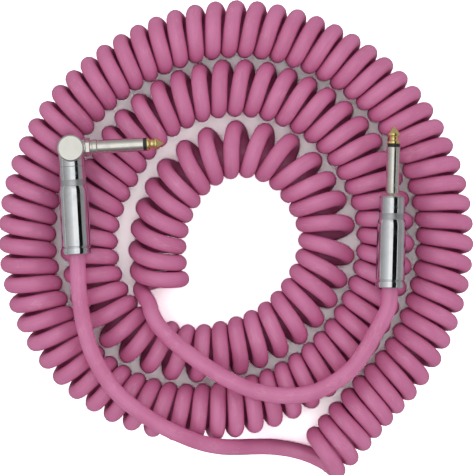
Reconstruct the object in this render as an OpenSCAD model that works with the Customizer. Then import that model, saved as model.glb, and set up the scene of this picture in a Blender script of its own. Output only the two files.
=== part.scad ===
// Curly instrument cable: one coiled cord laid in a flat spiral, with a straight 6.35 mm plug on its
// inner end and a right-angle 6.35 mm plug on its outer end. Millimetres, Z up, floor at Z = 0.

/* [Cord] */
// Outside diameter of the cord's jacket
cord_d = 7.6; // [6.6:0.1:7.8]
// Outside diameter over the curls
curl_od = 27; // [25:0.5:27]
// Number of curls drawn, fewer and further apart than the real cord's 137 touching ones
curl_count = 92; // [40:1:92]
// Length of jacket held inside each plug
jacket_inside = 14; // [12:0.5:18]
// Diameter of the insulated inner core
core_d = 3.2; // [2.4:0.1:3.6]
// Diameter of the bare conductor
conductor_d = 1; // [0.6:0.1:1.4]
// Diameter of the screen, twisted into a pigtail
braid_d = 1.6; // [1:0.1:2]

/* [Shell] */
// Wall of the screw-on shell over its body
shell_wall = 0.9; // [0.8:0.1:2]
// Width of the shoulder inside the shell that keeps the liner in
liner_shoulder = 0.82; // [0.6:0.02:1.2]
// Length of the straight plug's shell
straight_shell_l = 42.3; // [40:0.1:52]
// Length of the right-angle plug's shell
angle_shell_l = 41.1; // [40:0.1:52]
// Width of the rim behind the groove
rim_l = 3; // [2:0.1:4]
// Width of the groove
groove_w = 0.8; // [0.4:0.1:1.5]
// Depth of the groove
groove_depth = 0.4; // [0.2:0.05:0.5]
// Thickness of the shell's rear wall
rear_wall = 2; // [1.2:0.1:3]
// Wall of the shell's threaded neck
neck_wall = 1.02; // [0.8:0.02:1.3]
// Length of the straight plug's neck
straight_neck_l = 7; // [5:0.1:9]
// Length of the right-angle plug's neck
angle_neck_l = 5.8; // [5:0.1:9]
// Length of the concave band between body and neck
flare_l = 3.3; // [2:0.1:5]
// Bevel of the shell's rear edge
rear_bevel = 0.5; // [0.2:0.1:0.8]

/* [Contacts] */
// Diameter of the sleeve contact, the 6.35 mm plug standard
sleeve_d = 6.35; // [6.3:0.01:6.4]
// Length of the sleeve contact
sleeve_l = 21.6; // [18:0.1:26]
// Width of the insulating ring
ring_l = 1.5; // [1:0.1:2.5]
// Diameter of the insulating ring
ring_d = 6; // [5.8:0.05:6]
// Diameter of the tip's flange
tip_flange_d = 6.1; // [5.8:0.05:6.3]
// Width of the tip's flange
tip_flange_l = 1.2; // [0.8:0.1:2]
// Diameter of the tip's waist
tip_waist_d = 4.2; // [3.6:0.1:4.8]
// Length of the tip's waist
tip_waist_l = 1.9; // [1.2:0.1:2.5]
// Diameter of the tip's bulb
tip_bulb_d = 6; // [5.4:0.1:6.2]
// Length of the bulb, rise and crest together
tip_bulb_l = 1.6; // [1:0.1:2.4]
// Length of the tip's cone
tip_cone_l = 3.4; // [2.5:0.1:4.5]
// Diameter of the rod that carries the tip
rod_d = 2.4; // [2:0.1:2.8]
// Bore of the sleeve, which holds the rod's lining
sleeve_bore = 4.4; // [3.8:0.1:4.6]

/* [Thread and collar] */
// Length of the thread that holds the shell
thread_l = 6; // [5:0.1:8]
// Length of the boss behind the thread
boss_l = 2; // [1.5:0.1:3]
// Diameter of the boss behind the thread
boss_d = 7; // [6.4:0.1:7.6]
// Length of the straight plug's chamfered collar
collar_l = 1.9; // [1.4:0.1:3]
// Diameter of the collar's front face
collar_front_d = 7.8; // [7:0.1:10]
// Bevel of the contacts' and the neck's front edges
front_bevel = 0.2; // [0.1:0.05:0.4]

/* [Right-angle head] */
// Distance by which the can stands proud of the neck beside it
can_overhang = 0.2; // [0:0.1:1]
// Bore of the can, threaded for the cap
can_bore = 10; // [9.4:0.1:10.6]
// Thickness of the can's floor
can_floor = 1.4; // [0.8:0.1:2]
// Length of neck between the shell's front face and the can
elbow_l = 2.1; // [1.5:0.1:4]
// Bevel of the can's lower edge
can_bevel = 0.6; // [0.3:0.1:1]
// Thickness of the cap above the can
cap_t = 1.6; // [1.2:0.1:2.5]
// Width of the cap's bevel
cap_bevel = 0.9; // [0.4:0.1:1.2]
// Length of the cap's threaded spigot
cap_spigot_l = 2.2; // [1.6:0.1:2.6]
// Thickness of the insulating disc under the cap
cap_disc_t = 0.5; // [0.3:0.1:0.8]
// Length of the lock nut
nut_l = 5.7; // [4.8:0.1:6.5]
// Width across the lock nut's flats
nut_flats = 7.6; // [7.2:0.1:8.4]

/* [Fits] */
// Radial clearance of the threads that turn
thread_gap = 0.08; // [0.03:0.01:0.1]
// Radial clearance of fixed pieces in their bores
fit_gap = 0.05; // [0.02:0.01:0.1]
// Radial clearance of the liner in the shell
liner_gap = 0.1; // [0.05:0.01:0.2]
// Radial clearance of the cord in the shell's rear hole
cord_gap = 0.3; // [0.2:0.05:0.8]
// Wall of the liner tube
liner_t = 0.4; // [0.3:0.1:0.6]
// Thickness of the ground clamp's metal
clamp_t = 0.6; // [0.4:0.1:0.8]
// Radial room for the shell's thread over the ground clamp
clamp_room = 0.55; // [0.4:0.05:0.9]

/* [Hidden] */
$fn = 64;

// The spiral and the routes below were laid out for curls of this diameter, and spread with it.
layout_curl_od = 27;
spread = curl_od / layout_curl_od;

// The spiral's middle line: its radius every 30 degrees, clockwise from straight down, inner end first.
spiral_radii = [70, 52, 41.5, 37, 36.5, 39, 41.5, 42, 41, 41.5, 42, 45.1, 50.8, 61.5, 69, 69.5, 67, 69.5,
    70.5, 69.5, 69, 70, 70, 73.1, 80, 90.5, 97, 98.5, 98, 97, 98, 97, 97, 97.5, 98.5, 104, 141, 250];
spiral_first_angle = -90;
spiral_step = 30;
// Where the first and the last curl cross the middle line on top, counted in steps of the list.
first_top = 1.94;
last_top = 35.22;
table_from = 1.2;
table_to = 35.8;
table_step = 1 / 12;

// Diameters from the cord outwards: the clamp round it, the thread that passes over the clamp, the shell.
claw_bore = cord_d + 2 * fit_gap;
claw_d = claw_bore + 2 * clamp_t;
thread_d = claw_d + 2 * clamp_room;
thread_bore = thread_d + 2 * thread_gap;
neck_d = thread_bore + 2 * neck_wall;
shell_bore = thread_bore + 2 * liner_shoulder;
shell_d = shell_bore + 2 * shell_wall;
can_d = neck_d + 2 * can_overhang;
can_reach = can_d / 2 + elbow_l;

// Plug places: the middle of each shell's rear face, and the shell's heading in degrees from +X.
plug_gap = 0.4;
plug_height = curl_od + shell_d / 2 + plug_gap;
straight_rear = spread * [71.25, -23.55, 0] + [0, 0, plug_height];
straight_heading = 88.5;
angle_rear = spread * [-74.6, -7.9, 0] + [0, 0, plug_height];
angle_heading = 93.2;
angle_can = angle_rear + (angle_shell_l + can_reach) * heading_vector(angle_heading);

// The leads' routes between the curls and the straight stretch behind each plug, where they lie
// on top of the curls.
straight_route = spread * [[-42, -31.5, 23.2], [-41, -34.5, 26.5], [-39, -38, 28.8], [-36, -41.7, 30.3],
    [-32, -45.5, 31.2], [-26, -50.5, 31.2],
    [-17, -56, 31.2], [-5, -66, 31.2], [8, -71.5, 31.2], [21, -74, 31.2], [33, -73, 31.2],
    [43, -69, 31.2], [52.8, -62, 31.2], [59.7, -53, 31.6], [65.6, -41, 33.2]];
angle_route = spread * [[25, -99, 3.8], [16, -98.5, 5], [8, -98.5, 8.5], [0, -98.5, 14], [-8, -98, 20],
    [-17, -96, 25], [-27, -92, 29], [-36, -87.5, 31.2], [-46, -81, 31.2], [-55, -73.5, 31.2],
    [-62, -64.5, 31.2], [-68, -53, 31.2], [-71.8, -39, 31.8], [-73.7, -25, 33.4]];
// Direction in which the cord leaves the inner curl, and the radius of the bend that leads into it.
inner_exit = [0.1, -0.45, 0.89];
inner_exit_bend = 10;
// Turn of the inner curl at which that bend starts, counted from its lowest point.
inner_exit_turn = -0.19;
lead_sides = 12;
rings_per_curl = 8;
curl_sides = 6;

// Sizes worked out from those above.
curl_r = (curl_od - cord_d) / 2;
flat_cut = cord_d / 10;
coil_height = curl_od / 2 - flat_cut;
shell_travel = 5;
straight_behind = shell_travel + 0.8;
rear_hole_d = cord_d + 2 * cord_gap;
liner_od = shell_bore - 2 * liner_gap;
lining_d = sleeve_bore - 2 * fit_gap;
lining_bore = rod_d + 2 * fit_gap;
washer_t = 1.2;
lug_t = 0.5;
lug_d = 5;
lug_tail_w = 2.4;
lug_tail_l = 6;
rod_stub = 0.8;
tail_offset = rod_d / 2 + fit_gap;
claw_l = 5;
claw_end = jacket_inside - 1;
claw_slot = 3;
strap_w = 4;
strap_in = claw_bore / 2;
clamp_ring_d = boss_d + 2.2;
washer_d = claw_bore - 0.2;
can_below = shell_d / 2;
can_lug_x = conductor_d / 2;
can_washer_t = 1;
can_washer_d = 5.6;
can_tail_l = 4.6;
core_way_d = core_d + 1.4;
finger_shank_d = sleeve_bore + 1.2;
saddle_d = finger_shank_d + 1;
nut_seat = can_d / 2 + 0.2;
nut_seat_d = nut_flats + 0.8;
cap_spigot_d = can_bore - 2 * thread_gap;
cap_disc_gap = 0.05;
// The can stands above the neck, and above the saddle, the disc and the cap's spigot inside it.
saddle_gap = 0.15;
can_above = max(neck_d / 2 + 0.1,
    saddle_d / 2 + saddle_gap + cap_disc_t + cap_disc_gap + cap_spigot_l);

jacket_colour = [0.72, 0.42, 0.56];
chrome_colour = [0.8, 0.8, 0.82];
nickel_colour = [0.72, 0.71, 0.68];
gold_colour = [0.8, 0.66, 0.32];
black_colour = [0.08, 0.08, 0.08];
fibre_colour = [0.75, 0.68, 0.52];
copper_colour = [0.72, 0.45, 0.28];

// ---- Vectors and curves ----

function heading_vector(angle) = [cos(angle), sin(angle), 0];
function unit(v) = v / norm(v);
function square_to(v, axis) = unit(v - (v * axis) * axis);
// Smooth curve through four values, used between the middle two.
function blend(a, b, c, d, t) = b + t * (c - a) / 2 + t * t * (2 * a - 5 * b + 4 * c - d) / 2
    + t * t * t * (3 * b - a - 3 * c + d) / 2;

// ---- The spiral's middle line ----

function spiral_radius(u) = let (i = floor(u))
    spread * blend(spiral_radii[i - 1], spiral_radii[i], spiral_radii[i + 1], spiral_radii[i + 2], u - i);
function spiral_point(u) = spiral_radius(u) * heading_vector(spiral_first_angle - spiral_step * u);
function spiral_outward(u) = let (ahead = spiral_point(u + 0.02) - spiral_point(u - 0.02))
    unit([-ahead.y, ahead.x, 0]);
// Curls sit evenly along the inside of each bend, so the shorter of the two edges counts.
function edge_step(u, side) = norm(
    spiral_point(u + table_step) + side * curl_r * spiral_outward(u + table_step)
    - spiral_point(u) - side * curl_r * spiral_outward(u));
edge_run = [for (run = 0, u = table_from; u <= table_to;
    run = run + min(edge_step(u, -1), edge_step(u, 1)), u = u + table_step) [u, run]];
first_run = lookup(first_top, edge_run);
last_run = lookup(last_top, edge_run);
curl_table = [for (pair = edge_run)
    [0.5 + (curl_count - 1) * (pair[1] - first_run) / (last_run - first_run), pair[0]]];

// ---- The curled cord's centre line, t counted in curls from the first lowest point ----

// The first curls' undersides are pushed forward, under the curl above them.
function tuck(t) = 0.34 * pow(max(0, 1 - t / 3), 1.2) * (1 + cos(360 * (t - 0.9)));
function curl_place(t) = lookup(t + tuck(t), curl_table);
function curl_side(t) = let (angle = -90 - 360 * t)
    cos(angle) * spiral_outward(curl_place(t)) + [0, 0, sin(angle)];
// The last curls rise by the depth of the flat, so that the lead beyond them lies on the floor.
function coil_lift(t) = flat_cut * pow(max(0, 1 - (curl_count - t) / 3), 2);
function curl_point(t) = spiral_point(curl_place(t)) + curl_r * curl_side(t)
    + [0, 0, coil_height + coil_lift(t)];
function curl_tangent(t) = unit(curl_point(t + 0.02) - curl_point(t - 0.02));

// ---- The curls' two ends ----

inner_start = curl_point(inner_exit_turn);
inner_back = -curl_tangent(inner_exit_turn);
inner_out = unit(inner_exit);
inner_turn = acos(inner_back * inner_out);
inner_across = square_to(inner_out, inner_back);
function inner_bend(angle) = inner_start
    + inner_exit_bend * (sin(angle) * inner_back + (1 - cos(angle)) * inner_across);
inner_end = inner_bend(inner_turn) + cord_d * inner_out;
outer_out = curl_tangent(curl_count);
outer_end = curl_point(curl_count) + cord_d * outer_out;

curl_turns = [for (i = [ceil(inner_exit_turn * rings_per_curl) + 1 : curl_count * rings_per_curl])
    i / rings_per_curl];
curl_path = concat(
    [inner_end, inner_bend(inner_turn), inner_bend(inner_turn / 2), inner_start],
    [for (t = curl_turns) curl_point(t)],
    [outer_end]);
curl_sides_list = concat(
    [for (i = [0:3]) curl_side(inner_exit_turn)],
    [for (t = curl_turns) curl_side(t)],
    [curl_side(curl_count)]);

// ---- Tubes ----

function path_direction(path, i, start) = let (last = len(path) - 1)
    i == 0 ? start
    : i == last ? unit(path[last] - path[last - 1])
    : unit(unit(path[i] - path[i - 1]) + unit(path[i + 1] - path[i]));
function ring_points(centre, direction, side, radius, sides) =
    let (first = square_to(side, direction), second = cross(direction, first))
    [for (k = [0 : sides - 1])
        centre + radius * (cos(360 * k / sides) * first + sin(360 * k / sides) * second)];
function wall_faces(rings, sides) = [for (i = [0 : rings - 2], k = [0 : sides - 1], half = [0, 1])
    let (a = i * sides + k, b = i * sides + (k + 1) % sides)
    half == 0 ? [a, a + sides, b] : [b, a + sides, b + sides]];
function end_faces(rings, sides) = concat(
    [for (k = [1 : sides - 2]) [0, k, k + 1]],
    [for (k = [1 : sides - 2]) let (start = (rings - 1) * sides) [start, start + k + 1, start + k]]);

// A tube whose first face is square to the start direction and whose last one is square to the path.
module tube(path, start, side_list, radius, sides) {
    points = [for (i = [0 : len(path) - 1])
        each ring_points(path[i], path_direction(path, i, start), side_list[i], radius, sides)];
    faces = concat(wall_faces(len(path), sides), end_faces(len(path), sides));
    polyhedron(points, faces);
}

module lead(path, start) {
    tube(path, start, [for (p = path) [0, 0, 1]], cord_d / 2, lead_sides);
}

// ---- Places of the plugs: local Z runs from the shell's rear face towards its front ----

function along_straight(distance) = straight_rear + distance * heading_vector(straight_heading);
function along_angle(distance) = angle_rear + distance * heading_vector(angle_heading);

module at_straight() {
    translate(straight_rear) rotate([0, 0, straight_heading - 90]) rotate([-90, 0, 0]) children();
}

module at_angle() {
    translate(angle_rear) rotate([0, 0, angle_heading - 90]) rotate([-90, 0, 0]) children();
}

module at_can() {
    translate(angle_can) rotate([0, 0, angle_heading - 90]) children();
}

// The right-angle plug's finger: local Z runs from the can's middle towards the tip.
module at_finger() {
    at_can() rotate([0, 90, 0]) children();
}

// ---- Cord ----

module curly_cord() {
    measured = [for (i = [0 : 12 * curl_count]) curl_point(i / 12)];
    gap = min([for (i = [0 : len(measured) - 10]) min([for (j = [i + 9 : len(measured) - 1])
        norm(measured[i] - measured[j])])]) - cord_d;
    echo(least_gap_to_itself = gap);
    echo(cord_length_in_curls = sum_length(curl_path));
    color(jacket_colour) difference() {
        tube(curl_path, -inner_out, curl_sides_list, cord_d / 2, curl_sides);
        translate([-200, -200, -20]) cube([400, 400, 20]);
    }
}

function sum_length(path) = [for (i = 1, total = 0; i <= len(path); total = total
    + (i < len(path) ? norm(path[i] - path[i - 1]) : 0), i = i + 1) total][len(path) - 1];

module straight_lead() {
    color(jacket_colour) lead(concat([inner_end], straight_route,
        [along_straight(-straight_behind), along_straight(jacket_inside)]), inner_out);
}

module angle_lead() {
    color(jacket_colour) lead(concat([outer_end], angle_route,
        [along_angle(-straight_behind), along_angle(jacket_inside)]), outer_out);
}

// ---- Pieces that both plugs have ----

function tip_profile() = let (
        waist_from = tip_flange_l,
        bulb_from = tip_flange_l + tip_waist_l,
        cone_from = bulb_from + tip_bulb_l)
    concat(
        [[0, 0], [tip_flange_d / 2 - 0.1, 0], [tip_flange_d / 2, 0.1],
            [tip_flange_d / 2, waist_from - 0.2]],
        [for (a = [0 : 15 : 90]) [tip_waist_d / 2 + (tip_flange_d - tip_waist_d) / 2 * (1 - sin(a)),
            waist_from - 0.2 + 0.7 * (1 - cos(a))]],
        [[tip_waist_d / 2, bulb_from]],
        [for (a = [0 : 15 : 90]) [tip_waist_d / 2 + (tip_bulb_d - tip_waist_d) / 2 * sin(a),
            cone_from - tip_bulb_l * 0.6 * (1 - a / 90) - tip_bulb_l * 0.4]],
        [[tip_bulb_d / 2, cone_from - 0.2], [tip_bulb_d / 2 - 0.15, cone_from]],
        [for (a = [20 : 14 : 90]) [0.9 * cos(a), cone_from + tip_cone_l - 0.9 * (1 - sin(a))]]);

// Tip contact with its rod: z is the tip's rear face, rod_end the rod's far end.
module tip(z, rod_end) {
    translate([0, 0, z]) rotate_extrude() polygon(tip_profile());
    translate([0, 0, rod_end]) cylinder(d = rod_d, h = z - rod_end + 0.5);
}

module tip_insulator(z, lining_end) {
    difference() {
        union() {
            translate([0, 0, z - ring_l]) cylinder(d = ring_d, h = ring_l);
            translate([0, 0, lining_end]) cylinder(d = lining_d, h = z - lining_end - 0.1);
        }
        translate([0, 0, lining_end - 1]) cylinder(d = lining_bore, h = z - lining_end + 2);
    }
}

// The sleeve contact's bar, with its front edge bevelled.
module finger(length) {
    cylinder(d = sleeve_d, h = length - front_bevel);
    translate([0, 0, length - front_bevel])
        cylinder(d1 = sleeve_d, d2 = sleeve_d - 2 * front_bevel, h = front_bevel);
}

module washer(z, outer, inner, thickness) {
    translate([0, 0, z]) difference() {
        cylinder(d = outer, h = thickness);
        translate([0, 0, -1]) cylinder(d = inner, h = thickness + 2);
    }
}

// Shell with its rim, groove, concave band and neck, open at the front for the thread.
module shell(shell_l, neck_l) {
    neck_from = shell_l - neck_l;
    flare_from = neck_from - flare_l;
    step = (shell_d - neck_d) / 2;
    difference() {
        rotate_extrude() polygon(concat(
            [[0, 0], [shell_d / 2 - rear_bevel, 0], [shell_d / 2, rear_bevel], [shell_d / 2, rim_l],
                [shell_d / 2 - groove_depth, rim_l], [shell_d / 2 - groove_depth, rim_l + groove_w],
                [shell_d / 2, rim_l + groove_w], [shell_d / 2, flare_from]],
            [for (a = [0 : 15 : 90]) [neck_d / 2 + step * (1 - sin(a)) * 0.85,
                flare_from + flare_l * (1 - cos(a))]],
            [[neck_d / 2, neck_from], [neck_d / 2, shell_l - front_bevel],
                [neck_d / 2 - front_bevel, shell_l], [0, shell_l]]));
        translate([0, 0, -1]) cylinder(d = rear_hole_d, h = shell_l);
        translate([0, 0, rear_wall]) cylinder(d = shell_bore, h = flare_from - rear_wall);
        translate([0, 0, flare_from - 1]) cylinder(d = thread_bore, h = shell_l - flare_from + 2);
    }
}

// Insulating tube that lies loose in the shell, between its rear wall and its neck.
module liner(shell_l, neck_l) {
    liner_l = shell_l - neck_l - flare_l - rear_wall - 2 * liner_gap;
    translate([0, 0, rear_wall + liner_gap]) difference() {
        cylinder(d = liner_od, h = liner_l);
        translate([0, 0, -1]) cylinder(d = liner_od - 2 * liner_t, h = liner_l + 2);
    }
}

// Ground clamp: a ring on the boss, an arched strap back along the cord and a claw round its jacket.
module ground_clamp(ring_z) {
    claw_from = claw_end - claw_l;
    strap_l = ring_z - claw_from;
    difference() {
        union() {
            translate([0, 0, ring_z - clamp_t]) cylinder(d = clamp_ring_d, h = clamp_t);
            translate([-strap_w / 2, 0, ring_z - clamp_t])
                cube([strap_w, strap_in + clamp_t / 2, clamp_t]);
        }
        translate([0, 0, ring_z - clamp_t - 1]) cylinder(d = boss_d + 2 * fit_gap, h = clamp_t + 2);
    }
    difference() {
        translate([0, 0, claw_from]) cylinder(d = claw_d, h = strap_l);
        translate([0, 0, claw_from - 1]) cylinder(d = claw_bore, h = strap_l + 2);
        translate([-claw_slot / 2, -claw_d, claw_from - 1]) cube([claw_slot, claw_d, claw_l + 2]);
        translate([-claw_d, -claw_d, claw_end]) cube([2 * claw_d, claw_d, strap_l]);
        for (side = [-1, 1])
            translate([side * (claw_d + strap_w) / 2 - claw_d / 2, -1, claw_end])
                cube([claw_d, claw_d, strap_l]);
    }
}

// Insulated core and bare conductor, the conductor beside the axis by an offset.
module core(insulation_to, conductor_to, offset) {
    translate([0, 0, jacket_inside]) cylinder(d = core_d, h = insulation_to - jacket_inside);
    translate([0, offset, insulation_to - 0.5])
        cylinder(d = conductor_d, h = conductor_to - insulation_to + 0.5);
}

// The screen, drawn together and soldered along the clamp's strap.
module braid() {
    translate([0, strap_in - braid_d / 2, jacket_inside]) cylinder(d = braid_d, h = 6);
}

// ---- Straight plug ----

finger_from = straight_shell_l + collar_l;
boss_from = straight_shell_l - thread_l - boss_l;
straight_tip_z = finger_from + sleeve_l + ring_l;
straight_lug_z = boss_from - washer_t - lug_t;

module straight_tip() {
    color(gold_colour) at_straight() tip(straight_tip_z, straight_lug_z - rod_stub);
}

module straight_tip_insulator() {
    color(black_colour) at_straight() tip_insulator(straight_tip_z, boss_from);
}

module straight_sleeve() {
    color(nickel_colour) at_straight() difference() {
        union() {
            translate([0, 0, boss_from]) cylinder(d = boss_d, h = boss_l + 1);
            translate([0, 0, boss_from + boss_l]) cylinder(d = thread_d, h = thread_l + 1);
            translate([0, 0, straight_shell_l])
                cylinder(d1 = neck_d, d2 = collar_front_d, h = collar_l);
            translate([0, 0, finger_from - 1]) finger(sleeve_l + 1);
        }
        translate([0, 0, boss_from - 1]) cylinder(d = sleeve_bore, h = finger_from + sleeve_l);
    }
}

module straight_rear_washer() {
    color(fibre_colour) at_straight()
        washer(boss_from - washer_t, washer_d, lining_bore, washer_t);
}

module straight_tip_lug() {
    color(nickel_colour) at_straight() {
        washer(straight_lug_z, lug_d, lining_bore, lug_t);
        translate([-lug_tail_w / 2, tail_offset, straight_lug_z - lug_tail_l])
            cube([lug_tail_w, lug_t, lug_tail_l + lug_t]);
    }
}

module straight_ground_clamp() {
    color(nickel_colour) at_straight() ground_clamp(boss_from + boss_l);
}

module straight_liner() {
    color(fibre_colour) at_straight() liner(straight_shell_l, straight_neck_l);
}

module straight_shell() {
    color(chrome_colour) at_straight() shell(straight_shell_l, straight_neck_l);
}

module straight_core() {
    color(black_colour) at_straight()
        core(straight_lug_z - lug_tail_l - 1, straight_lug_z - rod_stub - 0.1,
            tail_offset - conductor_d / 2);
}

module straight_braid() {
    color(copper_colour) at_straight() braid();
}

// ---- Right-angle plug ----

angle_boss_from = angle_shell_l - thread_l - boss_l;
angle_sleeve_from = nut_seat + nut_l;
angle_tip_z = angle_sleeve_from + sleeve_l + ring_l;
saddle_from = can_lug_x + lug_t + can_washer_t;

module angle_head() {
    color(chrome_colour) difference() {
        union() {
            at_can() translate([0, 0, -can_below])
                cylinder(d1 = can_d - 2 * can_bevel, d2 = can_d, h = can_bevel);
            at_can() translate([0, 0, can_bevel - can_below])
                cylinder(d = can_d, h = can_below + can_above - can_bevel);
            at_angle() translate([0, 0, angle_shell_l]) cylinder(d = neck_d, h = can_reach);
            at_angle() translate([0, 0, angle_shell_l - thread_l])
                cylinder(d = thread_d, h = thread_l + 1);
            at_angle() translate([0, 0, angle_boss_from]) cylinder(d = boss_d, h = boss_l + 1);
            at_finger() cylinder(d = nut_seat_d, h = nut_seat);
        }
        at_can() translate([0, 0, can_floor - can_below])
            cylinder(d = can_bore, h = can_below + can_above);
        at_angle() translate([0, 0, angle_boss_from - 1])
            cylinder(d = core_way_d, h = angle_shell_l + can_reach - angle_boss_from + 1);
        at_finger() cylinder(d = finger_shank_d + 2 * fit_gap, h = nut_seat + 1);
    }
}

module angle_cap() {
    color(chrome_colour) at_can() translate([0, 0, can_above]) rotate_extrude()
        polygon([[0, -cap_spigot_l], [cap_spigot_d / 2, -cap_spigot_l], [cap_spigot_d / 2, 0],
            [can_d / 2, 0], [can_d / 2, cap_t - cap_bevel * 0.8], [can_d / 2 - cap_bevel, cap_t],
            [0, cap_t]]);
}

module angle_cap_disc() {
    color(fibre_colour) at_can()
        translate([0, 0, can_above - cap_spigot_l - cap_disc_gap - cap_disc_t])
            cylinder(d = can_bore - 4 * thread_gap, h = cap_disc_t);
}

// Sleeve contact with the shank that goes through the can's wall and the saddle that holds it inside.
module angle_sleeve() {
    color(nickel_colour) difference() {
        union() {
            at_finger() translate([0, 0, angle_sleeve_from]) finger(sleeve_l);
            at_finger() translate([0, 0, saddle_from])
                cylinder(d = finger_shank_d, h = angle_sleeve_from - saddle_from + 1);
            intersection() {
                at_finger() translate([0, 0, saddle_from]) cylinder(d = saddle_d, h = can_d / 2);
                at_can() translate([0, 0, -can_below])
                    cylinder(d = can_bore - 2 * fit_gap, h = 2 * can_below);
            }
        }
        at_finger() translate([0, 0, saddle_from - 1])
            cylinder(d = sleeve_bore, h = angle_sleeve_from + sleeve_l);
    }
}

module angle_lock_nut() {
    hex_l = nut_l * 0.42;
    recess_l = nut_l * 0.16;
    front_l = nut_l - hex_l - recess_l;
    color(nickel_colour) at_finger() translate([0, 0, nut_seat]) difference() {
        union() {
            intersection() {
                cylinder(d = nut_flats / cos(30), h = hex_l, $fn = 6);
                cylinder(d1 = nut_flats, d2 = nut_flats + 4 * hex_l, h = hex_l);
            }
            cylinder(d = nut_flats - 1, h = nut_l);
            translate([0, 0, hex_l + recess_l]) cylinder(d = nut_flats - 0.3, h = front_l - 0.4);
            translate([0, 0, nut_l - 0.4])
                cylinder(d1 = nut_flats - 0.3, d2 = nut_flats - 1, h = 0.4);
        }
        translate([0, 0, -1]) cylinder(d = finger_shank_d + 2 * fit_gap, h = nut_l + 2);
    }
}

module angle_tip() {
    color(gold_colour) at_finger() tip(angle_tip_z, can_lug_x - 0.3);
}

module angle_tip_insulator() {
    color(black_colour) at_finger() tip_insulator(angle_tip_z, saddle_from);
}

module angle_rear_washer() {
    color(fibre_colour) at_finger()
        washer(can_lug_x + lug_t, can_washer_d, lining_bore, can_washer_t);
}

module angle_tip_lug() {
    color(nickel_colour) at_finger() {
        washer(can_lug_x, lug_d, lining_bore, lug_t);
        translate([-lug_tail_w / 2, -can_tail_l, can_lug_x])
            cube([lug_tail_w, can_tail_l - lug_d / 2 + 0.4, lug_t]);
    }
}

module angle_ground_clamp() {
    color(nickel_colour) at_angle() ground_clamp(angle_boss_from + boss_l);
}

module angle_liner() {
    color(fibre_colour) at_angle() liner(angle_shell_l, angle_neck_l);
}

module angle_shell() {
    color(chrome_colour) at_angle() shell(angle_shell_l, angle_neck_l);
}

module angle_core() {
    can_middle = angle_shell_l + can_reach;
    color(black_colour) at_angle()
        core(can_middle - can_bore / 2 - 0.5, can_middle - rod_d / 2 - 0.4, 0);
}

module angle_braid() {
    color(copper_colour) at_angle() braid();
}

// ---- Nodes ----

curly_cord();
straight_lead();
angle_lead();
straight_tip();
straight_tip_insulator();
straight_sleeve();
straight_rear_washer();
straight_tip_lug();
straight_ground_clamp();
straight_liner();
straight_shell();
straight_core();
straight_braid();
angle_tip();
angle_tip_insulator();
angle_sleeve();
angle_lock_nut();
angle_head();
angle_cap();
angle_cap_disc();
angle_rear_washer();
angle_tip_lug();
angle_ground_clamp();
angle_liner();
angle_shell();
angle_core();
angle_braid();
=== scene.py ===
import math

import bpy
import numpy as np
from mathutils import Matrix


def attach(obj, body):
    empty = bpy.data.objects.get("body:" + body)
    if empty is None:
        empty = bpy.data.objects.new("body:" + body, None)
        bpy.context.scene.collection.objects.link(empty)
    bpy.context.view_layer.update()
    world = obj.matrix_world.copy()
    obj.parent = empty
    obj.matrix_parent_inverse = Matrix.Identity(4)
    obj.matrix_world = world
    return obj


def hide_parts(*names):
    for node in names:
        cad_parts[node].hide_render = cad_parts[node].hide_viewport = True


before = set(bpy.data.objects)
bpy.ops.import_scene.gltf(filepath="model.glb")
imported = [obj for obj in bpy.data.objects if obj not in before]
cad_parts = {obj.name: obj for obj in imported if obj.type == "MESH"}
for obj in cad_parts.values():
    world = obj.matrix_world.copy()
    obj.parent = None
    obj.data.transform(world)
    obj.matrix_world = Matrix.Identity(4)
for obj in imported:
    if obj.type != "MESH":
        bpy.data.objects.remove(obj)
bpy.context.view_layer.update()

# ---- Camera ----
# It hangs straight above the middle of the flat spiral, with a long lens and far enough away that
# the plugs, which lie on top of the curls, are hardly larger than the curls on the floor.
MM = 0.001
camera_height = 2.5
middle_height = 0.0135
rows, row_mm = 475, 0.47
seen_tall = rows * row_mm * MM
sensor = 36
camera = bpy.data.cameras.new("camera")
camera.sensor_width = sensor
camera.lens = sensor * (camera_height - middle_height) / seen_tall
camera.clip_start = 0.05
camera.clip_end = 50
camera_object = bpy.data.objects.new("camera", camera)
camera_object.location = (0, 0, camera_height)
bpy.context.scene.collection.objects.link(camera_object)
bpy.context.scene.camera = camera_object

# ---- The cord's jacket ----
# One unbroken length of soft pink vinyl, wound on a rod and set with heat, so that its 137 curls
# touch. Lying in a flat spiral they sag a little wider than high, and the two straight leads go
# back over them to the plugs.
cord_d = 7.6 * MM
curl_od = 27 * MM
curl_r = (curl_od - cord_d) / 2
sag = 0.2 * MM
curl_count = 137
coil_height = curl_od / 2
# The spiral's radius at every 30 degrees, clockwise from the bottom, and the places on it where the
# first and the last curl have their tops.
spiral_radii = np.array([70, 52, 41.5, 37, 36.5, 38.9, 41.5, 42, 41, 42.3, 42.4, 45.3, 51, 61.5,
                         69.2, 69.5, 67, 69.4, 70.3, 69.5, 69, 69.8, 70, 73.4, 80, 90.3, 97, 98.5,
                         98, 97, 98, 97, 97, 97.5, 98.5, 104, 141, 250]) * MM
first_top = 2.02
last_top = 35.25
# Each plug lies on top of the curls. Its axis starts at the rear face of its shell, and its own
# sizes are in millimetres.
shell_r = 6.8
plug_lift = 0.4 * MM
plug_height = curl_od + shell_r * MM + plug_lift
straight_rear = np.array([71.25 * MM, -23.55 * MM, plug_height])
straight_heading = math.radians(88.5)
angle_rear = np.array([-74.6 * MM, -7.9 * MM, plug_height])
angle_heading = math.radians(93.2)
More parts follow.
